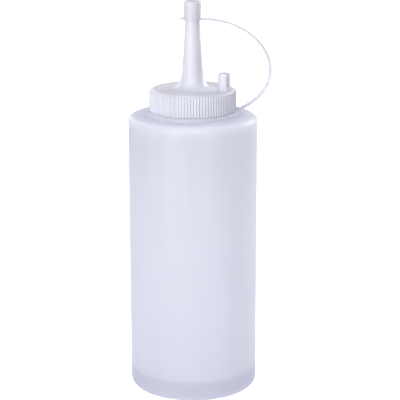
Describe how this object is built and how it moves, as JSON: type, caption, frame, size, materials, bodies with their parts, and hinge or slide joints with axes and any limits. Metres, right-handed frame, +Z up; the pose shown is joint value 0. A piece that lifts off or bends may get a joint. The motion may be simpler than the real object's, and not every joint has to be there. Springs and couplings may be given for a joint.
{
  "type": "squeeze bottle",
  "caption": "Translucent cylindrical squeeze bottle with a ribbed screw cap, tall tapered nozzle, tip cap on a moulded strap and a parking post.",
  "frame": {"origin": "centre of the standing ring under the base, on the bottle's axis", "axes": "+Z up along the bottle's axis towards the nozzle tip; +X roughly towards the side on which the strap bows out"},
  "size_m": [0.0679, 0.061, 0.1867],
  "materials": {
    "bottle": "translucent frosted polyethylene, cool white, soft sheen",
    "screw_cap": "milky white polyethylene, satin gloss",
    "tether": "milky white soft polyethylene, satin gloss"
  },
  "bodies": {
    "root": {"bottle": "bottle", "screw_cap": "screw_cap", "tether": "tether"}
  },
  "joints": []
}
